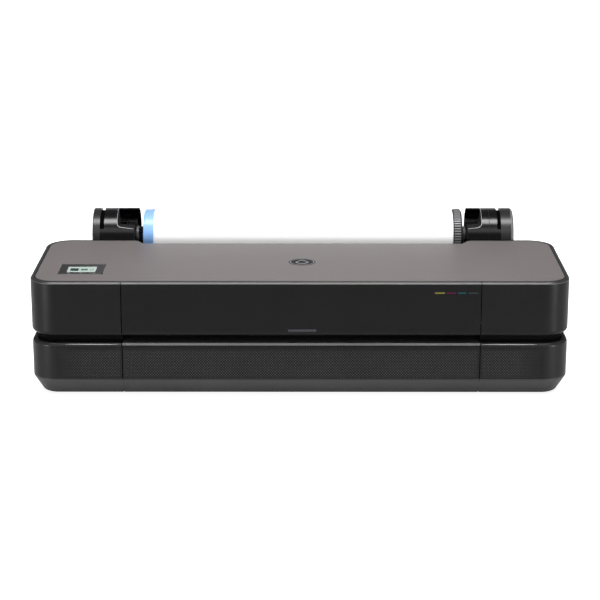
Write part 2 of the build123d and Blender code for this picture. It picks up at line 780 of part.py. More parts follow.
def paper_roll():
    return roll_tube(CORE_OUT, PAPER_RADIUS, PAPER_L, PAPER_R)


# ---------------------------------------------------------------- nodes

def main():
    os.makedirs("parts", exist_ok=True)
    lower = lower_shell()
    upper = upper_shell()
    ring = rim_ring()
    nodes = {
        "base_tray": base_tray(),
        "feet": feet(),
        "stand_inserts": stand_inserts(),
        "lower_left_cover": lower_left_cover(lower),
        "lower_right_cover": lower_right_cover(lower),
        "lower_front_panel": lower_front_panel(),
        "output_lip": output_lip(),
        "rear_cover": rear_cover(),
        "socket_panel": socket_panel(),
        "upper_left_cover": upper_left_cover(upper),
        "upper_right_cover": upper_right_cover(upper),
        "rim_left": rim_left(ring),
        "rim_right": rim_right(ring),
        "deck_panel": deck_panel(),
        "front_skirt": front_skirt(),
        "rim_centre": rim_centre(),
        "control_bezel": control_bezel(),
        "display_glass": display_glass(),
        "emblem": emblem(),
        "colour_bars": colour_bars(),
        "status_light": status_light(),
        "lid_hinges": lid_hinges(),
        "side_frame_left": side_frame(-1),
        "side_frame_right": side_frame(1),
        "carriage_beam": carriage_beam(),
        "guide_rod": guide_rod(),
        "platen": platen(),
        "feed_roller": feed_roller(),
        "feed_gear": feed_gear(),
        "feed_motor": feed_motor(),
        "feed_pinion": feed_pinion(),
        "pinch_rollers": pinch_rollers(),
        "exit_roller": exit_roller(),
        "carriage_motor": carriage_motor(),
        "motor_pulley": motor_pulley(),
        "idler_pulley": idler_pulley(),
        "drive_belt": drive_belt(),
        "carriage": carriage(),
        "printhead": printhead(),
        "printhead_latch": printhead_latch(),
        "cartridge_bay": cartridge_bay(),
        "service_station": service_station(),
        "cap_sled": cap_sled(),
        "cutter_carriage": cutter_carriage(),
        "cutter_blade": cutter_blade(),
        "power_supply": power_supply(),
        "main_board": main_board(),
        "bracket_left": bracket_left(),
        "bracket_right": bracket_right(),
        "roll_cover": roll_cover(),
        "roll_bushes": roll_bushes(),
        "roll_shaft": roll_shaft(),
        "flange_blue": flange_blue(),
        "flange_ribbed": flange_ribbed(),
        "roll_core": roll_core(),
        "paper_roll": paper_roll(),
    }
    for name in INK_X:
        nodes["cartridge_" + name] = cartridge(name)
    for name, shape in nodes.items():
        export_step(shape, "parts/" + name + ".step")


main()
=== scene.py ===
import math
import bmesh
import bpy
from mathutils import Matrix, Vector


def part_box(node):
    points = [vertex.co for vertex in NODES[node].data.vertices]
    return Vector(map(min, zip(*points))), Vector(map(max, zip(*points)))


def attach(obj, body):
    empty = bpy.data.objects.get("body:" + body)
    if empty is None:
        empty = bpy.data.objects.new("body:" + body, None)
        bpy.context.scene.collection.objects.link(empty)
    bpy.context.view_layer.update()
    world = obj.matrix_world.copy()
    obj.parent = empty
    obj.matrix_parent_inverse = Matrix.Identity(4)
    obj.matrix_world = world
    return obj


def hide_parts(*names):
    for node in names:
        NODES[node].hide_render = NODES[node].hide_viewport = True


# Large format plotter. Metres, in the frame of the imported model.
# The CAD nodes keep their meshes and get their finishes here. Pieces that are too fine for CAD are added.

MM = 0.001
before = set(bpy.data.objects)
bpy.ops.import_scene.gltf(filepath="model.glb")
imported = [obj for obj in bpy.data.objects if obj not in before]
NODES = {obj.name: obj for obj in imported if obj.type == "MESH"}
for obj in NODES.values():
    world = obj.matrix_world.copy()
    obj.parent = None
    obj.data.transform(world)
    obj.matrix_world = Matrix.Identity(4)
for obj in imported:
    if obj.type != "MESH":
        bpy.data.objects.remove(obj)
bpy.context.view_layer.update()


# ---------------------------------------------------------------- node helpers

def new_material(name):
    mat = bpy.data.materials.new(name)
    mat.use_nodes = True
    tree = mat.node_tree
    tree.nodes.clear()
    out = tree.nodes.new("ShaderNodeOutputMaterial")
    shader = tree.nodes.new("ShaderNodeBsdfPrincipled")
    tree.links.new(shader.outputs["BSDF"], out.inputs["Surface"])
    return mat, tree, shader


def coords(tree, scale=(1, 1, 1)):
    coord = tree.nodes.new("ShaderNodeTexCoord")
    mapping = tree.nodes.new("ShaderNodeMapping")
    mapping.inputs["Scale"].default_value = scale
    tree.links.new(coord.outputs["Object"], mapping.inputs["Vector"])
    return mapping.outputs["Vector"]


def noise(tree, vector, scale, detail=3.0, rough=0.5):
    node = tree.nodes.new("ShaderNodeTexNoise")
    node.inputs["Scale"].default_value = scale
    node.inputs["Detail"].default_value = detail
    node.inputs["Roughness"].default_value = rough
    tree.links.new(vector, node.inputs["Vector"])
    return node.outputs["Fac"]


def remap(tree, value, low, high, out_low, out_high):
    node = tree.nodes.new("ShaderNodeMapRange")
    node.inputs["From Min"].default_value = low
    node.inputs["From Max"].default_value = high
    node.inputs["To Min"].default_value = out_low
    node.inputs["To Max"].default_value = out_high
    tree.links.new(value, node.inputs["Value"])
    return node.outputs["Result"]


def blend_colours(tree, fac, a, b):
    node = tree.nodes.new("ShaderNodeMix")
    node.data_type = "RGBA"
    node.inputs["A"].default_value = (*a, 1)
    node.inputs["B"].default_value = (*b, 1)
    tree.links.new(fac, node.inputs["Factor"])
    return node.outputs["Result"]


def bump(tree, shader, height, distance, strength=1.0):
    node = tree.nodes.new("ShaderNodeBump")
    node.inputs["Distance"].default_value = distance
    node.inputs["Strength"].default_value = strength
    tree.links.new(height, node.inputs["Height"])
    tree.links.new(node.outputs["Normal"], shader.inputs["Normal"])


def srgb(r, g, b):
    return tuple((v / 255 / 12.92) if v <= 10 else ((v / 255 + 0.055) / 1.055) ** 2.4 for v in (r, g, b))


def math_node(tree, operation, a, b=None):
    node = tree.nodes.new("ShaderNodeMath")
    node.operation = operation
    for socket, value in zip(node.inputs, (a, b)):
        if value is None:
            continue
        if isinstance(value, (int, float)):
            socket.default_value = value
        else:
            tree.links.new(value, socket)
    return node.outputs[0]


def axes(tree):
    split = tree.nodes.new("ShaderNodeSeparateXYZ")
    tree.links.new(coords(tree), split.inputs[0])
    return split.outputs


def repaint(tree, shader, mask, colour, rough):
    """Changes the colour and roughness where the mask is 1."""
    old = shader.inputs["Base Color"].links[0].from_socket
    node = tree.nodes.new("ShaderNodeMix")
    node.data_type = "RGBA"
    node.inputs["B"].default_value = (*colour, 1)
    tree.links.new(mask, node.inputs["Factor"])
    tree.links.new(old, node.inputs["A"])
    tree.links.new(node.outputs["Result"], shader.inputs["Base Color"])
    old = shader.inputs["Roughness"].links[0].from_socket
    blend = tree.nodes.new("ShaderNodeMix")
    blend.inputs["B"].default_value = rough
    tree.links.new(mask, blend.inputs["Factor"])
    tree.links.new(old, blend.inputs["A"])
    tree.links.new(blend.outputs["Result"], shader.inputs["Roughness"])


def inside_radius(tree, y, z, radius):
    """1 nearer than the radius to the line along X through (y, z), else 0."""
    place = axes(tree)
    dy = math_node(tree, "SUBTRACT", place["Y"], y)
    dz = math_node(tree, "SUBTRACT", place["Z"], z)
    square = math_node(tree, "ADD", math_node(tree, "MULTIPLY", dy, dy), math_node(tree, "MULTIPLY", dz, dz))
    return math_node(tree, "LESS_THAN", square, radius * radius)


def between(tree, axis, low_end, high_end):
    """1 in the given interval of an axis, else 0."""
    place = axes(tree)[axis]
    over = math_node(tree, "GREATER_THAN", place, low_end)
    return math_node(tree, "MULTIPLY", over, math_node(tree, "LESS_THAN", place, high_end))


def beyond_outline(tree, half_x, front_y, rear_y, radius):
    """1 outside a plan outline with rounded corners, else 0."""
    place = axes(tree)
    centred = math_node(tree, "SUBTRACT", place["Y"], (front_y + rear_y) / 2)
    u = math_node(tree, "SUBTRACT", math_node(tree, "ABSOLUTE", place["X"]), half_x - radius)
    v = math_node(tree, "SUBTRACT", math_node(tree, "ABSOLUTE", centred), (rear_y - front_y) / 2 - radius)
    u = math_node(tree, "MAXIMUM", u, 0.0)
    v = math_node(tree, "MAXIMUM", v, 0.0)
    square = math_node(tree, "ADD", math_node(tree, "MULTIPLY", u, u), math_node(tree, "MULTIPLY", v, v))
    return math_node(tree, "GREATER_THAN", square, radius * radius)


# ---------------------------------------------------------------- materials

def plastic(name, colour, rough, grain=900.0, grain_depth=0.00004, spread=0.12, specular=0.5, coat=0.0):
    """Moulded plastic: uneven tone, uneven gloss and a fine spark-eroded grain."""
    mat, tree, shader = new_material(name)
    vector = coords(tree)
    cloud = noise(tree, vector, 14.0, 4.0)
    speck = noise(tree, vector, grain, 2.0)
    dark = tuple(c * (1 - spread) for c in colour)
    light = tuple(c * (1 + spread) for c in colour)
    fac = remap(tree, cloud, 0.3, 0.7, 0.0, 1.0)
    tree.links.new(blend_colours(tree, fac, dark, light), shader.inputs["Base Color"])
    tree.links.new(remap(tree, cloud, 0.3, 0.7, rough * 0.95, rough * 1.05), shader.inputs["Roughness"])
    shader.inputs["Specular IOR Level"].default_value = specular
    shader.inputs["Coat Weight"].default_value = coat
    shader.inputs["Coat Roughness"].default_value = 0.12
    bump(tree, shader, speck, grain_depth)
    return mat


def parts_of(mat):
    tree = mat.node_tree
    shader = next(node for node in tree.nodes if node.type == "BSDF_PRINCIPLED")
    return tree, shader


# Zones are in metres, in the frame of the model.
DISC_X = ((-0.4206, -0.4054), (0.4065, 0.4326))
BEVEL_X = (0.4270, 0.4326)
BRACKET_GROOVE_X = (0.3825, 0.3834)
BRACKET_PIT_R = 0.0516
COVER_PIT_R = 0.0535
FLANGE_PIT_R = 0.0524
FILLET_Z = (0.1062, 0.1121)
NECK_Z = (0.1121, 0.2)
FRONT_GROOVE_Y = (-0.2199, -0.219)
FRONT_GROOVE_Z = (0.1025, 0.1035)
LINE_HALF = 0.4970
LINE_FRONT = 0.0050
LINE_REAR = 0.0090
LINE_CORNER_R = 0.0406
BORDER_HALF = 0.4988
BORDER_FRONT = 0.01
BORDER_REAR = 0.0076
BORDER_CORNER_R = 0.0424

RIM_COLOUR = (0.024, 0.0232, 0.0232)
RIM_ROUGH = 0.3
# Lighter, glossier band on the lower housing's top fillet: the lighter colour is a painted highlight.
FILLET_HIGHLIGHT_COLOUR = (0.018, 0.018, 0.019)
EDGE_ROUGH = 0.24
DISC_COLOUR = (0.017, 0.017, 0.018)
DISC_ROUGH = 0.3
# Light grey on the right bracket's outer bevel: a painted highlight.
BEVEL_HIGHLIGHT_COLOUR = (0.13, 0.13, 0.13)
# Near-black dull finish that paints shade in hollows, grooves and the neck between the housings.
PAINTED_SHADE_COLOUR = (0.0006, 0.0006, 0.0006)
PAINTED_SHADE_ROUGH = 0.95
# Painted shade inside the grey flange.
FLANGE_SHADE_COLOUR = (0.003, 0.003, 0.003)
FLANGE_PIT_ROUGH = 0.8
# Dark line round the deck inside its border: painted shade of the groove between deck and rim.
GROOVE_SHADE_COLOUR = (0.022, 0.020, 0.020)
LINE_ROUGH = 0.5


def zoned_materials():
    """Mouldings with painted shade in their hollows, grooves and the neck between the housings, painted
    highlights on a fillet and a bevel, lighter end discs and a border in the rim's colour.
    """
    roll = (ROLL_Y * MM, ROLL_Z * MM)
    tree, shader = parts_of(M["bracket"])
    for span in DISC_X:
        repaint(tree, shader, between(tree, "X", *span), DISC_COLOUR, DISC_ROUGH)
    # Painted highlight on the outer bevel.
    repaint(tree, shader, between(tree, "X", *BEVEL_X), BEVEL_HIGHLIGHT_COLOUR, DISC_ROUGH)
    # Painted shade in the bracket's fine groove and inside its cutaway.
    repaint(tree, shader, between(tree, "X", *BRACKET_GROOVE_X), PAINTED_SHADE_COLOUR, PAINTED_SHADE_ROUGH)
    repaint(tree, shader, inside_radius(tree, *roll, BRACKET_PIT_R), PAINTED_SHADE_COLOUR, PAINTED_SHADE_ROUGH)
    tree, shader = parts_of(M["smoke"])
    # Painted shade inside the dust cover's slot.
    repaint(tree, shader, inside_radius(tree, *roll, COVER_PIT_R), PAINTED_SHADE_COLOUR, PAINTED_SHADE_ROUGH)
    tree, shader = parts_of(M["grey"])
    # Painted shade inside the flange.
    repaint(tree, shader, inside_radius(tree, *roll, FLANGE_PIT_R), FLANGE_SHADE_COLOUR, FLANGE_PIT_ROUGH)
    tree, shader = parts_of(M["lower"])
    # Painted highlight along the lower housing's top fillet.
    repaint(tree, shader, between(tree, "Z", *FILLET_Z), FILLET_HIGHLIGHT_COLOUR, EDGE_ROUGH)
    # Painted shade in the front groove.
    groove_y = between(tree, "Y", *FRONT_GROOVE_Y)
    groove = math_node(tree, "MULTIPLY", groove_y, between(tree, "Z", *FRONT_GROOVE_Z))
    repaint(tree, shader, groove, PAINTED_SHADE_COLOUR, PAINTED_SHADE_ROUGH)
    # Painted shade on the neck between the upper and lower housings.
    repaint(tree, shader, between(tree, "Z", *NECK_Z), PAINTED_SHADE_COLOUR, PAINTED_SHADE_ROUGH)
    tree, shader = parts_of(M["deck"])
    front = low("deck_panel")[1] * MM
    rear = high("deck_panel")[1] * MM
    # Painted shade of the groove round the deck.
    line = beyond_outline(tree, LINE_HALF, front + LINE_FRONT, rear - LINE_REAR, LINE_CORNER_R)
    repaint(tree, shader, line, GROOVE_SHADE_COLOUR, LINE_ROUGH)
    border = beyond_outline(tree, BORDER_HALF, front - BORDER_FRONT, rear - BORDER_REAR, BORDER_CORNER_R)
    repaint(tree, shader, border, RIM_COLOUR, RIM_ROUGH)


def metal(name, colour, rough, stretch):
    """Drawn or rolled metal: fine lines along one axis."""
    mat, tree, shader = new_material(name)
    vector = coords(tree, stretch)
    lines = noise(tree, vector, 60.0, 4.0)
    cloud = noise(tree, coords(tree), 20.0, 3.0)
    dark = tuple(c * 0.85 for c in colour)
    tree.links.new(blend_colours(tree, lines, dark, colour), shader.inputs["Base Color"])
    tree.links.new(remap(tree, cloud, 0.3, 0.7, rough * 0.8, rough * 1.2), shader.inputs["Roughness"])
    shader.inputs["Metallic"].default_value = 1.0
    bump(tree, shader, lines, 0.00003)
    return mat


def rubber(name, colour):
    mat, tree, shader = new_material(name)
    vector = coords(tree)
    dust = noise(tree, vector, 40.0, 5.0)
    light = tuple(c * 1.8 for c in colour)
    dusty = remap(tree, dust, 0.4, 0.8, 0, 1)
    tree.links.new(blend_colours(tree, dusty, colour, light), shader.inputs["Base Color"])
    tree.links.new(remap(tree, dust, 0.3, 0.7, 0.6, 0.85), shader.inputs["Roughness"])
    bump(tree, shader, noise(tree, vector, 1500.0, 2.0), 0.00005)
    return mat


def paper(name, colour):
    """Coated paper with faint fibres. The weak glow is painted light, which lifts the shaded lower part of
    the roll.
    """
    mat, tree, shader = new_material(name)
    vector = coords(tree)
    fibre = noise(tree, vector, 700.0, 5.0, 0.6)
    shade = tuple(c * 0.96 for c in colour)
    tree.links.new(blend_colours(tree, fibre, shade, colour), shader.inputs["Base Color"])
    tree.links.new(remap(tree, fibre, 0.3, 0.7, 0.5, 0.62), shader.inputs["Roughness"])
    shader.inputs["Emission Color"].default_value = (1, 1, 1, 1)
    shader.inputs["Emission Strength"].default_value = 0.16
    bump(tree, shader, fibre, 0.00002)
    return mat


def card(name, colour):
    mat, tree, shader = new_material(name)
    fibre = noise(tree, coords(tree, (1, 3, 3)), 300.0, 5.0, 0.7)
    dark = tuple(c * 0.75 for c in colour)
    tree.links.new(blend_colours(tree, fibre, dark, colour), shader.inputs["Base Color"])
    shader.inputs["Roughness"].default_value = 0.9
    bump(tree, shader, fibre, 0.0001)
    return mat


def lit(name, colour, glow, strength):
    """A lens or a lit display: plastic with a weak glow of its own."""
    mat, tree, shader = new_material(name)
    vector = coords(tree)
    cells = noise(tree, vector, 500.0, 2.0)
    dark = tuple(c * 0.92 for c in colour)
    tree.links.new(blend_colours(tree, cells, dark, colour), shader.inputs["Base Color"])
    tree.links.new(remap(tree, cells, 0.3, 0.7, 0.16, 0.24), shader.inputs["Roughness"])
    shader.inputs["Emission Color"].default_value = (*glow, 1)
    shader.inputs["Emission Strength"].default_value = strength
    bump(tree, shader, cells, 0.00001)
    return mat


M = {
    "shell": plastic("shell", (0.0034, 0.0034, 0.0037), 0.38, specular=0.13),
    "skirt": plastic("skirt", (0.0032, 0.0032, 0.0035), 0.36, specular=0.12),
    "lower": plastic("lower", (0.0050, 0.0050, 0.0053), 0.42, specular=0.14),
    "dots": plastic("dots", (0.031, 0.031, 0.032), 0.34, specular=0.42),
    "tray": plastic("tray", (0.0155, 0.0155, 0.016), 0.45, specular=0.28),
    # The output lip's light grey is a painted reflection on black plastic.
    "lip": plastic("lip", (0.072, 0.070, 0.070), 0.3),
    "deck": plastic("deck", (0.142, 0.127, 0.125), 0.5, 1300.0, 0.00006, 0.03, specular=0.45),
    "rim": plastic("rim", RIM_COLOUR, 0.32, 900.0, 0.00003, 0.06),
    "bezel": plastic("bezel", (0.017, 0.017, 0.018), 0.3, spread=0.08, specular=0.3),
    "bracket": plastic("bracket", (0.0020, 0.0020, 0.0023), 0.2, spread=0.1, specular=0.48),
    # Light grey on the bracket cutaway's bead and along the pod edges: a painted highlight.
    "edge": plastic("edge_highlight", (0.30, 0.30, 0.31), 0.22, spread=0.1),
    "pocket": plastic("pocket_black", (0.0008, 0.0008, 0.0008), 0.85, specular=0.04),
    "inner": plastic("inner", (0.010, 0.010, 0.011), 0.5, specular=0.3),
    "blue": plastic("blue_flange", srgb(134, 176, 228), 0.28, spread=0.04, specular=0.6),
    "grey": plastic("grey_flange", (0.20, 0.20, 0.205), 0.35, spread=0.08),
    "natural": plastic("natural_gear", srgb(205, 202, 190), 0.4, spread=0.05),
    "carriage": plastic("carriage_body", srgb(50, 50, 54), 0.42),
    "head": plastic("head_blue", srgb(40, 74, 120), 0.35),
    "latch": plastic("latch_blue", srgb(66, 120, 180), 0.35),
    "emblem": plastic("emblem_disc", (0.006, 0.0063, 0.0069), 0.5, spread=0.06, specular=0.08),
    "glyph": plastic("emblem_glyph", (0.20, 0.207, 0.22), 0.28, spread=0.05),
    "smoke": plastic("smoke_cover", (0.022, 0.022, 0.025), 0.25, spread=0.06, specular=0.3),
    "yellow": plastic("mark_yellow", (0.115, 0.108, 0.018), 0.4, spread=0.06, specular=0.15),
    "magenta": plastic("mark_magenta", (0.050, 0.0015, 0.023), 0.4, spread=0.06, specular=0.12),
    "cyan": plastic("mark_cyan", (0.003, 0.040, 0.050), 0.4, spread=0.06, specular=0.15),
    "grey_mark": plastic("mark_grey", (0.016, 0.019, 0.021), 0.4, spread=0.06, specular=0.15),
    "ink_yellow": plastic("ink_yellow", srgb(222, 190, 36), 0.4),
    "ink_magenta": plastic("ink_magenta", srgb(190, 40, 110), 0.4),
    "ink_cyan": plastic("ink_cyan", srgb(30, 140, 190), 0.4),
    "ink_black": plastic("ink_black", srgb(26, 26, 28), 0.4),
    "label": plastic("label", srgb(228, 228, 224), 0.5, spread=0.03),
    "plate": plastic("rating_plate", srgb(176, 178, 180), 0.35, spread=0.05),
    "board": plastic("solder_mask", srgb(20, 84, 52), 0.35, 400.0),
    "steel": metal("turned_steel", (0.62, 0.62, 0.63), 0.25, (1, 40, 40)),
    "sheet": metal("zinc_sheet", (0.55, 0.56, 0.58), 0.38, (2, 30, 30)),
    "brass": metal("brass", (0.72, 0.53, 0.24), 0.28, (30, 30, 2)),
    "motor": plastic("motor_black", srgb(30, 30, 33), 0.35),
    "rubber": rubber("rubber", srgb(26, 26, 26)),
    "paper": paper("coated_paper", srgb(248, 248, 248)),
    "card": card("core_board", srgb(170, 140, 104)),
    "display": lit("display", srgb(174, 188, 180), srgb(190, 210, 200), 0.06),
    "display_dark": lit("display_dark", srgb(16, 46, 40), srgb(10, 60, 50), 0.02),
    "display_grey": lit("display_grey", srgb(112, 146, 140), srgb(90, 130, 120), 0.04),
    "teal": lit("display_teal", srgb(64, 108, 100), srgb(30, 90, 80), 0.05),
    "touch": lit("touch_mark", srgb(150, 164, 158), srgb(150, 170, 160), 0.08),
    "status": lit("status_lens", srgb(9, 10, 24), srgb(60, 60, 160), 0.012),
    "collar": plastic("hub_collar_highlight", (0.11, 0.11, 0.11), 0.24, spread=0.08),
    "stop": plastic("seat_stop_frame", (0.045, 0.045, 0.046), 0.3, specular=0.4),
}

FINISH = {
    "base_tray": "tray", "feet": "rubber", "stand_inserts": "brass", "lower_left_cover": "lower",
    "lower_right_cover": "lower", "lower_front_panel": "lower", "output_lip": "lip", "rear_cover": "shell",
    "socket_panel": "inner", "upper_left_cover": "shell", "upper_right_cover": "shell", "rim_left": "rim",
    "rim_right": "rim", "deck_panel": "deck", "front_skirt": "skirt", "rim_centre": "rim",
    "control_bezel": "bezel", "display_glass": "display", "emblem": "emblem", "colour_bars": "grey_mark",
    "status_light": "status", "lid_hinges": "sheet", "side_frame_left": "sheet", "side_frame_right": "sheet",
    "carriage_beam": "sheet", "guide_rod": "steel", "platen": "inner", "feed_roller": "rubber",
    "feed_gear": "natural", "feed_motor": "motor", "feed_pinion": "brass", "pinch_rollers": "rubber",
    "exit_roller": "rubber", "carriage_motor": "motor", "motor_pulley": "steel", "idler_pulley": "natural",
    "drive_belt": "rubber", "carriage": "carriage", "printhead": "head", "printhead_latch": "latch",
    "cartridge_bay": "inner", "cartridge_yellow": "ink_yellow", "cartridge_magenta": "ink_magenta",
    "cartridge_cyan": "ink_cyan", "cartridge_black": "ink_black", "service_station": "inner",
    "cap_sled": "natural", "cutter_carriage": "inner", "cutter_blade": "steel", "power_supply": "sheet",
    "main_board": "board",
    "bracket_left": "bracket", "bracket_right": "bracket", "roll_cover": "smoke", "roll_bushes": "natural",
    "roll_shaft": "inner", "flange_blue": "blue", "flange_ribbed": "grey", "roll_core": "card",
    "paper_roll": "paper",
}


def finish_nodes():
    for name, key in FINISH.items():
        mesh = NODES[name].data
        mesh.materials.clear()
        mesh.materials.append(M[key])


# ---------------------------------------------------------------- mesh helpers, in millimetres

def piece(name, part, material, body, smooth=False):
    """Makes an object from (verts, faces) in millimetres and lets it ride on a body."""
    verts, faces = part
    mesh = bpy.data.meshes.new(name)
    mesh.from_pydata([tuple(c * MM for c in v) for v in verts], [], faces)
    shape = bmesh.new()
    shape.from_mesh(mesh)
    bmesh.ops.recalc_face_normals(shape, faces=shape.faces)
    shape.to_mesh(mesh)
    shape.free()
    for face in mesh.polygons:
        face.use_smooth = smooth
    obj = bpy.data.objects.new(name, mesh)
    bpy.context.scene.collection.objects.link(obj)
    mesh.materials.append(M[material])
    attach(obj, body)
    return obj


def joined(parts):
    """Several (verts, faces) as one."""
    verts = []
    faces = []
    for part_verts, part_faces in parts:
        base = len(verts)
        verts += part_verts
        faces += [tuple(base + i for i in face) for face in part_faces]
    return verts, faces


def lofted(rings):
    """Closed skin over rings of equal point counts."""
    n = len(rings[0])
    verts = [point for ring in rings for point in ring]
    faces = [tuple(reversed(range(n))), tuple(range((len(rings) - 1) * n, len(rings) * n))]
    for k in range(len(rings) - 1):
        for i in range(n):
            j = (i + 1) % n
            faces.append((k * n + i, k * n + j, (k + 1) * n + j, (k + 1) * n + i))
    return verts, faces


def ringed(sections):
    """Skin over rings that close on themselves, the last joined to the first."""
    n = len(sections[0])
    count = len(sections)
    verts = [point for ring in sections for point in ring]
    faces = []
    for k in range(count):
        for i in range(n):
            j = (i + 1) % n
            m = (k + 1) % count
            faces.append((k * n + i, k * n + j, m * n + j, m * n + i))
    return verts, faces


def placed(outline, level, axis, at=(0, 0)):
    """Outline points (u, v) as points with the given level along an axis, in right-handed order."""
    if axis == "z":
        return [(at[0] + u, at[1] + v, level) for u, v in outline]
    if axis == "y":
        return [(at[0] + u, level, at[1] - v) for u, v in outline]
    if axis == "-y":
        return [(at[0] - u, level, at[1] - v) for u, v in reversed(outline)]
    return [(level, at[0] + u, at[1] + v) for u, v in outline]


def plate(outline, base, face, axis="z", at=(0, 0), bevel=0.0):
    """Thin plate from an outline round the origin, bevelled round its face."""
    rings = [placed(outline, base, axis, at)]
    if bevel:
        rings.append(placed(outline, face - math.copysign(bevel, face - base), axis, at))
    reach = max(max(abs(u), abs(v)) for u, v in outline)
    shrink = 1 - bevel / reach
    rings.append(placed([(u * shrink, v * shrink) for u, v in outline], face, axis, at))
    if face < base:
        rings = [list(reversed(ring)) for ring in rings]
    return lofted(rings)


def framed(outer, inner, base, face, axis, at):
    """Raised ring between two outlines."""
    return ringed([placed(outer, base, axis, at), placed(outer, face, axis, at),
                   placed(inner, face, axis, at), placed(inner, base, axis, at)])


def rounded(width, height, radius, steps=4):
    """Outline of a rectangle with rounded corners, anticlockwise."""
    points = []
    for cu, cv, start in ((1, 1, 0), (-1, 1, 90), (-1, -1, 180), (1, -1, 270)):
        for i in range(steps + 1):
            a = math.radians(start + 90 * i / steps)
            points.append((cu * (width / 2 - radius) + radius * math.cos(a),
                           cv * (height / 2 - radius) + radius * math.sin(a)))
    return points


def circle(radius, steps=32):
    return [(radius * math.cos(2 * math.pi * i / steps), radius * math.sin(2 * math.pi * i / steps))
            for i in range(steps)]


def tube(points, radius, sides=8, tapered=False):
    """Round bead along a path, with closed ends. A tapered bead is thickest in the middle."""
    rings = []
    for i, point in enumerate(points):
        share = max(0.12, math.sin(math.pi * i / (len(points) - 1)) ** 0.6) if tapered else 1.0
        r = radius * share
        ahead = Vector(points[min(i + 1, len(points) - 1)]) - Vector(points[max(i - 1, 0)])
        ahead.normalize()
        side = ahead.cross(Vector((0, 1, 0)) if abs(ahead.y) < 0.9 else Vector((1, 0, 0))).normalized()
        up = side.cross(ahead)
        rings.append([tuple(Vector(point) + r * (math.cos(a) * side + math.sin(a) * up))
                      for a in (2 * math.pi * k / sides for k in range(sides))])
    return lofted(rings)


def low(node):
    """Lower corner of a node's box, in millimetres."""
    return [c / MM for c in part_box(node)[0]]


def high(node):
    """Upper corner of a node's box, in millimetres."""
    return [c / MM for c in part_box(node)[1]]


# Share of the radius and of the rise, from the rim of the head to the edge of its recess.
HEAD_PROFILE = ((1.0, 0.0), (0.98, 0.45), (0.8, 0.85), (0.55, 1.0), (0.5, 1.0))
CROSS_ARM = 0.46
CROSS_WAIST = 0.17
CROSS_TAPER = 0.8
CROSS_FLOOR = 0.35


def screw_head(x, y, z, axis, radius=3.4, rise=1.3):
    """Domed head with a cross recess, standing on the surface at the given point."""
    sign = -1 if axis == "-z" else 1
    steps = 24
    rings = []
    for share, lift in HEAD_PROFILE:
        rings.append([(u, v, lift * rise) for u, v in circle(radius * share, steps)])
    cross = []
    for i in range(steps):
        arm = CROSS_ARM if i % 6 in (0, 1, 5) else CROSS_WAIST
        a = 2 * math.pi * i / steps
        cross.append((radius * arm * math.cos(a), radius * arm * math.sin(a), rise))
    rings.append(cross)
    rings.append([(u * CROSS_TAPER, v * CROSS_TAPER, rise * CROSS_FLOOR) for u, v, _ in cross])
    verts, faces = lofted(rings)
    moved = []
    for u, v, w in verts:
        if axis == "y":
            moved.append((x - u, y + w, z + v))
        else:
            moved.append((x + u, y + sign * v, z + sign * w))
    return moved, faces


# ---------------------------------------------------------------- added pieces

FRONT = low("lower_front_panel")[1]
SEAM_HALF = 0.8
SEAM_L = low("lower_front_panel")[0] - SEAM_HALF
SEAM_R = high("lower_front_panel")[0] + SEAM_HALF
SEAM_MARGIN = 4
DOT_PITCH_X = 5.1
DOT_PITCH_Z = 2.7
DOT_R = 0.95
DOT_RISE = 0.48
DOT_FLOOR = FRONT + 0.5
DOT_Z = (45.5, 97.0)
DOT_HALF = 450.0
DOT_FADE = 60.0
DOT_SMALLEST = 0.3
NECK_RISE = 13.6
LOWER_FILLET = 7.0
POD_EDGE_DROP = 2.5
POD_EDGE_SPAN = (1.0, 108.0)
POD_EDGE_SUNK = 0.15
POD_EDGE_R = 0.75


def dot(x, z, size):
    """One raised point of the front's texture."""
    r = DOT_R * size
    tip = DOT_FLOOR - DOT_RISE * size
    verts = [(x - r, DOT_FLOOR, z), (x, DOT_FLOOR, z - r), (x + r, DOT_FLOOR, z), (x, DOT_FLOOR, z + r),
             (x, tip, z)]
    return verts, [(0, 1, 4), (1, 2, 4), (2, 3, 4), (3, 0, 4), (3, 2, 1, 0)]


def front_dots():
    zones = (("left", -DOT_HALF, SEAM_L - SEAM_MARGIN),
             ("centre", SEAM_L + SEAM_MARGIN, SEAM_R - SEAM_MARGIN),
             ("right", SEAM_R + SEAM_MARGIN, DOT_HALF))
    rows = int((DOT_Z[1] - DOT_Z[0]) / DOT_PITCH_Z)
    for side, x0, x1 in zones:
        parts = []
        for row in range(rows + 1):
            z = DOT_Z[0] + row * DOT_PITCH_Z
            shift = (row % 2) * DOT_PITCH_X / 2
            for k in range(math.ceil((x0 - shift) / DOT_PITCH_X), int((x1 - shift) // DOT_PITCH_X) + 1):
                x = k * DOT_PITCH_X + shift
                size = min(1.0, DOT_SMALLEST + (DOT_HALF - abs(x)) / DOT_FADE)
                parts.append(dot(x, z, size))
        dots = piece("front_dots_" + side, joined(parts), "dots", "housing")


def pod_edges():
    """Painted highlight: a light grey bead along the rounded top edge of the lower housing's two ends."""
    lower_top = high("lower_left_cover")[2] - NECK_RISE
    angle = math.asin(1 - POD_EDGE_DROP / LOWER_FILLET)
    y = FRONT + LOWER_FILLET * (1 - math.cos(angle)) + POD_EDGE_SUNK
    near, far = POD_EDGE_SPAN
    for side, start, end in (("left", SEAM_L - near, SEAM_L - far), ("right", SEAM_R + near, SEAM_R + far)):
        points = [(start + (end - start) * i / 16, y, lower_top - POD_EDGE_DROP) for i in range(17)]
        line = piece("pod_edge_highlight_" + side, tube(points, POD_EDGE_R, tapered=True), "edge", "housing", True)


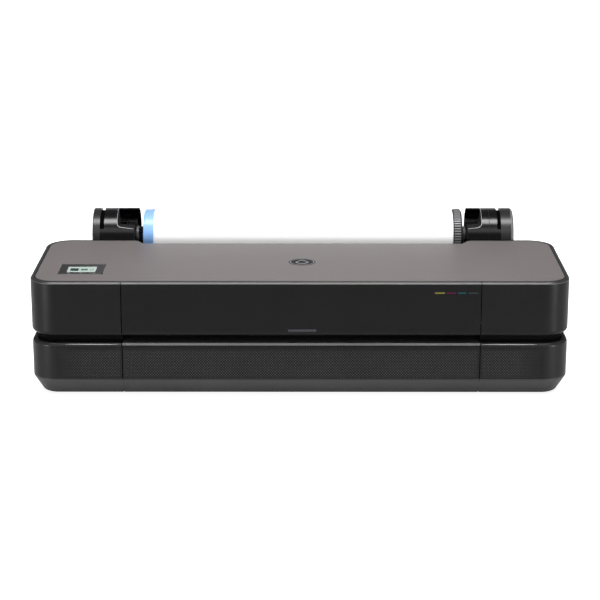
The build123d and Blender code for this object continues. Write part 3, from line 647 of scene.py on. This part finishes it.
INK_X = {"yellow": 260.3, "magenta": 281.5, "cyan": 301.5, "black": 322.5}
INK_W = {"yellow": 18.6, "magenta": 17.0, "cyan": 15.0, "black": 17.0}
INK_MARK_H = 2.8


def ink_marks():
    z = (low("colour_bars")[2] + high("colour_bars")[2]) / 2
    back = high("colour_bars")[1]
    front = low("colour_bars")[1]
    for ink, x in INK_X.items():
        outline = rounded(INK_W[ink] - 0.2, INK_MARK_H, 0.5)
        look = "grey_mark" if ink == "black" else ink
        mark = piece("ink_mark_" + ink, plate(outline, back, front, "y", (x, z), 0.15), look, "lid")
        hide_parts("colour_bars")


DISPLAY_RISE = 0.06
ICON_AT = 0.59


def display_content():
    """What the panel shows: a dark block, an icon and a few small marks, as shares of its size."""
    top = high("display_glass")[2]
    x0, y0 = low("display_glass")[:2]
    x1, y1 = high("display_glass")[:2]
    width = x1 - x0
    depth = y1 - y0
    middle = y0 + depth * 0.47
    face = top + DISPLAY_RISE
    block = plate(rounded(width * 0.29, depth * 0.48, 2.0), top, face, "z", (x0 + width * 0.24, middle))
    piece("display_block", block, "display_dark", "lid")
    icon = plate(rounded(width * 0.25, depth * 0.36, 4.0), top, face, "z", (x0 + width * ICON_AT, middle))
    piece("display_icon", icon, "teal", "lid")
    marks = []
    for row in range(3):
        for k in range(2):
            at = (x0 + width * (0.80 + 0.09 * k), middle + (row - 1) * depth * 0.16)
            marks.append(plate(rounded(width * 0.07, depth * 0.07, 0.6), top, face, "z", at))
    bar = rounded(width * 0.17, 1.0, 0.4)
    marks.append(plate(bar, top + 0.05, top + 0.09, "z", (x0 + width * ICON_AT, middle)))
    piece("display_marks", joined(marks), "display_grey", "lid")


TOUCH_RISE = 0.08
TOUCH_AT = {"arrow": 21.5, "ring": 43.4, "plus": 68.5}
TOUCH_FRONT = 5.5


def touch_marks():
    """An arrow, a ring and a plus in front of the display."""
    top = high("control_bezel")[2]
    face = top + TOUCH_RISE
    y = low("control_bezel")[1] + TOUCH_FRONT
    x0 = low("control_bezel")[0]
    arrow = [(-2.6, 0), (1.6, -2.2), (0.6, 0), (1.6, 2.2)]
    ring = framed(circle(2.3, 24), circle(1.5, 24), top, face, "z", (x0 + TOUCH_AT["ring"], y))
    plus = (x0 + TOUCH_AT["plus"], y)
    parts = [plate(arrow, top, face, "z", (x0 + TOUCH_AT["arrow"], y)), ring,
             plate(rounded(4.4, 1.1, 0.5), top, face, "z", plus),
             plate(rounded(1.1, 4.4, 0.5), top, top + 0.1, "z", plus)]
    piece("touch_marks", joined(parts), "touch", "lid")


DROP_OUTER = 12.5
DROP_INNER = 9.6
DROP_RISE = 0.35
# Radius and rise of the thin ring near the emblem's rim.
EMBLEM_RING = ((23.6, 0), (23.4, 0.25), (22.2, 0.25), (22.0, 0))


def emblem_glyph():
    """A plain ink drop on the round emblem."""
    x0, y0, _ = low("emblem")
    x1, y1, top = high("emblem")
    centre = ((x0 + x1) / 2, (y0 + y1) / 2)

    def drop(scale):
        points = []
        steps = 40
        for i in range(steps):
            a = 2 * math.pi * i / steps
            pinch = 1 - math.sin(a) if math.sin(a) > 0 else 1.0
            u = scale * math.cos(a) * (0.25 + 0.75 * pinch)
            v = scale * (math.sin(a) * (1.35 if math.sin(a) > 0 else 1.0) - 0.15)
            points.append((u, v))
        return points

    glyph = framed(drop(DROP_OUTER), drop(DROP_INNER), top, top + DROP_RISE, "z", centre)
    edge = ringed([placed(circle(r, 64), top + rise, "z", centre) for r, rise in EMBLEM_RING])
    piece("emblem_glyph", joined([glyph, edge]), "glyph", "lid")


# ---------------------------------------------------------------- roll unit details

ROLL_Y = (low("paper_roll")[1] + high("paper_roll")[1]) / 2
ROLL_Z = (low("paper_roll")[2] + high("paper_roll")[2]) / 2
BRACKET_R = 55.0
BEAD_R = 0.9
BEAD_AT = BRACKET_R - 0.95
LEDGE_RISE = 27.5
CORNER_RISE = 27.1
LEDGE_DROP = 7.0
LEDGE_RUN = 30
CORNER_R = 8
RING_R = 50.0
SEAL_THICK = 0.5
SEAL_START = -48
SEAL_SWEEP = 222
COLLAR_R = 15.0
WHEEL_TIP_R = 17.4
WHEEL_ROOT_R = 13.6
STOP_AHEAD = 20.0
STOP_DEPTH = 6.0
STOP_RISE = (20.0, 35.0)
RIB_COUNT = 12
RIB_RISE = 1.6
RIB_LENGTH = 30.0
RIB_WIDTH = 1.8
RIB_AT = 32.5
RIB_RINGS = (18.6, 47.4)


def on_bracket(x, z):
    """Point on the front of the bracket's cylinder where the bead runs."""
    rise = min(z - ROLL_Z, BEAD_AT)
    return x, ROLL_Y - math.sqrt(BEAD_AT * BEAD_AT - rise * rise), ROLL_Z + rise


def cutaway_bead(side, x_in, x_ledge):
    """Rounded edge of the bracket's cutaway: along the ledge, round the corner and over the top. Its light
    grey is a painted highlight.
    """
    s = -1 if side == "left" else 1
    slope = LEDGE_DROP / (x_ledge - x_in + LEDGE_RUN)
    points = []
    for i in range(9):
        x = x_in + 0.6 + (x_ledge - CORNER_R - x_in) * i / 8
        points.append(on_bracket(s * x, ROLL_Z + LEDGE_RISE - slope * (x_ledge - x)))
    for i in range(1, 7):
        a = math.radians(90 * i / 6)
        x = x_ledge - CORNER_R + CORNER_R * math.sin(a)
        points.append(on_bracket(s * x, ROLL_Z + CORNER_RISE + CORNER_R * (1 - math.cos(a))))
    for i in range(1, 12):
        a = math.radians(40 + 66 * i / 11)
        points.append((s * x_ledge, ROLL_Y - BEAD_AT * math.cos(a), ROLL_Z + BEAD_AT * math.sin(a)))
    bead = piece("cutaway_edge_highlight_" + side, tube(points, BEAD_R), "edge", "housing", True)


def seat_stop(side, x0, x1):
    """Small block that keeps the spindle's bearing in its seat, with an embossed rectangle on its face."""
    front = ROLL_Y - STOP_AHEAD
    floor = ROLL_Z + STOP_RISE[0]
    top = ROLL_Z + STOP_RISE[1]
    centre = ((x0 + x1) / 2, (floor + top) / 2)
    width = abs(x1 - x0)
    block = plate(rounded(width, top - floor, 1.2), front + STOP_DEPTH, front, "y", centre, 0.5)
    piece("seat_stop_" + side, block, "pocket", "housing")
    middle = (centre[0], top - 5.2)
    outer = rounded(width - 2.0, 7.4, 0.8)
    inner = rounded(width - 3.4, 6.0, 0.6)
    rim_part = framed(outer, inner, front, front - 0.4, "y", middle)
    piece("seat_stop_frame_" + side, rim_part, "stop", "housing")


def hub_wheel(side, x0, x1):
    """Toothed drive wheel on the spindle between the bracket and the roll's flange."""
    teeth = 16
    outline = []
    for i in range(teeth):
        for part, r in ((0.0, WHEEL_TIP_R), (0.45, WHEEL_TIP_R), (0.55, WHEEL_ROOT_R), (0.95, WHEEL_ROOT_R)):
            a = 2 * math.pi * (i + part) / teeth
            outline.append((r * math.cos(a), r * math.sin(a)))
    wheel = plate(outline, x0, x1, "x", (ROLL_Y, ROLL_Z), 0.5)
    piece("hub_wheel_" + side, wheel, "bracket", "roll")


def hub_bead(side, x, radius):
    """Round collar beside the drive wheel, against the bracket. Its light grey is a painted highlight."""
    steps = 48
    sections = []
    for i in range(steps):
        a = 2 * math.pi * i / steps
        ring = []
        for k in range(12):
            b = 2 * math.pi * k / 12
            r = COLLAR_R + radius * math.cos(b)
            ring.append((x + radius * math.sin(b), ROLL_Y + r * math.cos(a), ROLL_Z + r * math.sin(a)))
        sections.append(ring)
    collar = piece("hub_bead_" + side, ringed(sections), "collar", "roll", True)


def slot_seal(side, x0, x1):
    """Black seal round the dust cover's end ring, which closes the bracket's slot. Its near-black dull
    finish paints the shade in the slot.
    """
    steps = 48
    reach = RING_R + 0.1
    rings = []
    for i in range(steps + 1):
        a = math.radians(SEAL_START + SEAL_SWEEP * i / steps)
        section = ((x0, reach), (x1, reach), (x1, reach + SEAL_THICK), (x0, reach + SEAL_THICK))
        rings.append([(x, ROLL_Y - r * math.cos(a), ROLL_Z + r * math.sin(a)) for x, r in section])
    piece("slot_seal_" + side, lofted(rings), "pocket", "dust_cover")


def flange_ribs(side, x_face, direction):
    """Ribs and a ring on the open side of a flange."""
    parts = []
    rise = RIB_RISE * direction
    for i in range(RIB_COUNT):
        a = 2 * math.pi * i / RIB_COUNT
        rib = []
        for u, v in rounded(RIB_LENGTH, RIB_WIDTH, 0.7, 2):
            r = RIB_AT + u
            rib.append((r * math.cos(a) - v * math.sin(a), r * math.sin(a) + v * math.cos(a)))
        low_ring = placed(rib, x_face, "x", (ROLL_Y, ROLL_Z))
        high_ring = placed(rib, x_face + rise, "x", (ROLL_Y, ROLL_Z))
        if direction < 0:
            low_ring.reverse()
            high_ring.reverse()
        parts.append(lofted([low_ring, high_ring]))
    for r in RIB_RINGS:
        rings = [placed(circle(r + dr, 64), x_face + dx, "x", (ROLL_Y, ROLL_Z))
                 for dr, dx in ((1.2, 0), (0.9, rise), (-0.9, rise), (-1.2, 0))]
        parts.append(ringed(rings))
    look, slot = ("blue", "flange_blue_plastic") if side == "left" else ("grey", "flange_grey_plastic")
    piece("flange_ribs_" + side, joined(parts), look, "roll")


# ---------------------------------------------------------------- rear, underside and inside details

def rear_details():
    rear = high("rear_cover")[1]
    left = low("rear_cover")[0]
    right = high("rear_cover")[0]
    heads = [screw_head(x, rear, z, "y") for z in (52.0, 184.0) for x in (left + 12, -110, 115, right - 12)]
    piece("rear_screws", joined(heads), "steel", "housing")
    slats = [plate(rounded(54.0, 2.2, 1.0), rear, rear + 1.2, "-y", (395.0, 56.0 + i * 3.6), 0.5)
             for i in range(14)]
    piece("rear_vent_slats", joined(slats), "lower", "housing")
    ribs = [plate(rounded(1.6, 96.0, 0.7), rear, rear + 0.8, "-y", (-264 + i * 24, 118.0), 0.4)
            for i in range(23)]
    piece("rear_cover_ribs", joined(ribs), "shell", "housing")
    blank = plate(rounded(78.0, 34.0, 2.0), rear, rear + 0.3, "-y", (-402.0, 158.0), 0.15)
    piece("rating_plate", blank, "plate", "housing")


def underside_details():
    z = low("base_tray")[2]
    heads = [screw_head(x, y, z, "-z", 4.0, 1.2) for x in (-360, -180, 180, 360) for y in (-165, 0, 72)]
    piece("base_screws", joined(heads), "steel", "housing")
    ribs = [plate(rounded(3.0, 60.0, 1.4), z, z - 0.8, "z", (side * (220 + i * 8), -50.0), 0.4)
            for side in (-1, 1) for i in range(12)]
    piece("base_vent_ribs", joined(ribs), "tray", "housing")


GRIP_RISE = 4.0


def cartridge_labels():
    for ink, x in INK_X.items():
        body_top = high("cartridge_" + ink)[2] - GRIP_RISE
        label = plate(rounded(12.0, 40.0, 1.0), body_top, body_top + 0.12, "z", (x, -147.0), 0.05)
        piece("cartridge_label_" + ink, label, "label", "ink_" + ink)


def printhead_details():
    x = (low("printhead")[0] + high("printhead")[0]) / 2
    front = low("carriage")[1]
    ribs = [plate(rounded(2.4, 36.0, 1.1), front, front - 1.0, "y", (x - 32 + i * 8, 150.0), 0.4)
            for i in range(9)]
    piece("carriage_ribs", joined(ribs), "carriage", "print_carriage")


# ---------------------------------------------------------------- camera and light

# From the fit to the photograph.
LENS = 112.63
CAMERA_AT = (0.0066, -3.5747, 1.1586)
CAMERA_AIM = (0.0, -0.020, 0.13925)


def camera():
    data = bpy.data.cameras.new("camera")
    data.lens = LENS
    data.sensor_width = 36
    cam = bpy.data.objects.new("camera", data)
    bpy.context.scene.collection.objects.link(cam)
    cam.location = CAMERA_AT
    cam.rotation_euler = (Vector(CAMERA_AIM) - cam.location).to_track_quat("-Z", "Y").to_euler()
    bpy.context.scene.camera = cam


def area_light(name, place, aim, size, energy):
    data = bpy.data.lights.new(name, "AREA")
    data.shape = "RECTANGLE"
    data.size = size[0]
    data.size_y = size[1]
    data.energy = energy
    lamp = bpy.data.objects.new(name, data)
    bpy.context.scene.collection.objects.link(lamp)
    lamp.location = place
    lamp.visible_camera = False
    lamp.rotation_euler = (Vector(aim) - Vector(place)).to_track_quat("-Z", "Y").to_euler()


def studio_floor():
    """Pale floor that glows a little, and more the further it is from the middle."""
    verts = [(-8, -8, 0), (8, -8, 0), (8, 8, 0), (-8, 8, 0)]
    mesh = bpy.data.meshes.new("floor")
    mesh.from_pydata(verts, [], [(0, 1, 2, 3)])
    floor = bpy.data.objects.new("floor", mesh)
    bpy.context.scene.collection.objects.link(floor)
    mat, tree, shader = new_material("floor")
    place = coords(tree)
    grain = noise(tree, place, 3.0, 2.0)
    tone = blend_colours(tree, grain, (0.9, 0.9, 0.9), (0.94, 0.94, 0.94))
    tree.links.new(tone, shader.inputs["Base Color"])
    length = tree.nodes.new("ShaderNodeVectorMath")
    length.operation = "LENGTH"
    tree.links.new(place, length.inputs[0])
    near = remap(tree, length.outputs["Value"], 0.8, 3.5, 0.86, 1.1)
    path = tree.nodes.new("ShaderNodeLightPath")
    seen = remap(tree, path.outputs["Is Camera Ray"], 0.0, 1.0, 0.44, 1.0)
    tree.links.new(math_node(tree, "MULTIPLY", near, seen), shader.inputs["Emission Strength"])
    shader.inputs["Roughness"].default_value = 0.9
    shader.inputs["Emission Color"].default_value = (1, 1, 1, 1)
    mesh.materials.append(mat)


def studio_world():
    world = bpy.data.worlds.new("studio")
    bpy.context.scene.world = world
    world.use_nodes = True
    tree = world.node_tree
    tree.nodes.clear()
    out = tree.nodes.new("ShaderNodeOutputWorld")
    path = tree.nodes.new("ShaderNodeLightPath")
    mix = tree.nodes.new("ShaderNodeMixShader")
    dim = tree.nodes.new("ShaderNodeBackground")
    dim.inputs["Color"].default_value = (0.13, 0.13, 0.135, 1)
    bright = tree.nodes.new("ShaderNodeBackground")
    bright.inputs["Color"].default_value = (1, 1, 1, 1)
    tree.links.new(path.outputs["Is Camera Ray"], mix.inputs["Fac"])
    tree.links.new(dim.outputs["Background"], mix.inputs[1])
    tree.links.new(bright.outputs["Background"], mix.inputs[2])
    tree.links.new(mix.outputs["Shader"], out.inputs["Surface"])
    bpy.context.scene.view_settings.view_transform = "Standard"


def studio():
    area_light("overhead", (0.0, -0.5, 2.4), (0.0, 0.0, 0.1), (2.8, 0.8), 84.0)
    area_light("rear_panel", (0.0, 3.0, 1.15), (0.0, 0.0, 0.2), (1.5, 0.9), 2.5)
    area_light("front_high", (0.0, -3.6, 2.8), (0.0, 0.1, 0.2), (3.6, 1.6), 20.0)
    area_light("left", (-2.3, -1.8, 0.14), (-0.45, -0.1, 0.15), (0.45, 0.25), 44.0)
    area_light("right", (2.3, -1.8, 0.14), (0.45, -0.1, 0.15), (0.45, 0.25), 44.0)
    studio_floor()
    studio_world()


# ---------------------------------------------------------------- build

zoned_materials()
finish_nodes()
front_dots()
ink_marks()
display_content()
touch_marks()
emblem_glyph()
cutaway_bead("left", 336.5, 371.0)
cutaway_bead("right", 339.2, 368.0)
seat_stop("left", -366.0, -350.0)
pod_edges()
slot_seal("left", -405.1, -397.4)
slot_seal("right", 399.4, 406.2)
hub_bead("left", -332.0, 3.6)
hub_bead("right", 334.9, 3.3)
hub_wheel("left", -334.0, -321.0)
hub_wheel("right", 330.0, 337.0)
flange_ribs("left", low("flange_blue")[0], -1)
flange_ribs("right", high("flange_ribbed")[0], 1)
rear_details()
underside_details()
cartridge_labels()
printhead_details()
camera()
studio()
